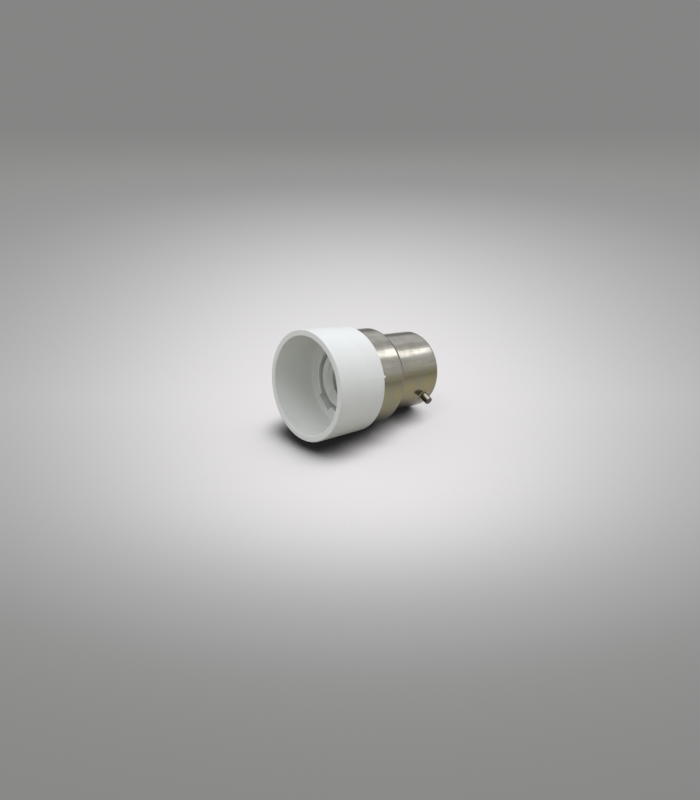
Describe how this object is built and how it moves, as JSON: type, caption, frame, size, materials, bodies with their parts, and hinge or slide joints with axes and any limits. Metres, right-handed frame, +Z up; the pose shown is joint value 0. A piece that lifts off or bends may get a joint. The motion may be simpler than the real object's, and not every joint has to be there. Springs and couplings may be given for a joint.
{
  "type": "lamp socket adapter",
  "caption": "Lamp socket adapter: white moulded cup with a small screw lamp socket inside, on a nickel-plated bayonet cap with side pins and soldered end contacts. Lies on its side.",
  "frame": {"origin": "on the surface the adapter lies on, under the middle of its box", "axes": "+Z up; +X along the lying adapter from its mouth to its cap. The adapter's own axis leans down towards the cap by 7.6 degrees, because it rests on the back edge of its cup and the end of its shell"},
  "size_m": [0.0442, 0.029, 0.0304],
  "materials": {
    "white_plastic": "satin moulded",
    "insert_plastic": "satin moulded",
    "nickel_plate": "nickel plated, satin",
    "contact_bronze": "rolled sheet",
    "tinned_wire": "tinned",
    "black_glass": "pressed, glossy",
    "plate_brass": "stamped",
    "solder": "soft solder"
  },
  "bodies": {
    "root": {"socket_cup": "white_plastic", "thread_insert": "insert_plastic", "bayonet_shell": "nickel_plate", "bayonet_pin_near": "nickel_plate", "bayonet_pin_far": "nickel_plate", "centre_contact": "contact_bronze", "side_contact": "contact_bronze", "centre_rivet": "contact_bronze", "side_rivet": "contact_bronze", "centre_lead": "tinned_wire", "side_lead": "tinned_wire", "end_insulator": "black_glass", "centre_contact_plate": "plate_brass", "side_contact_plate": "plate_brass", "centre_solder": "solder", "side_solder": "solder"}
  },
  "joints": []
}
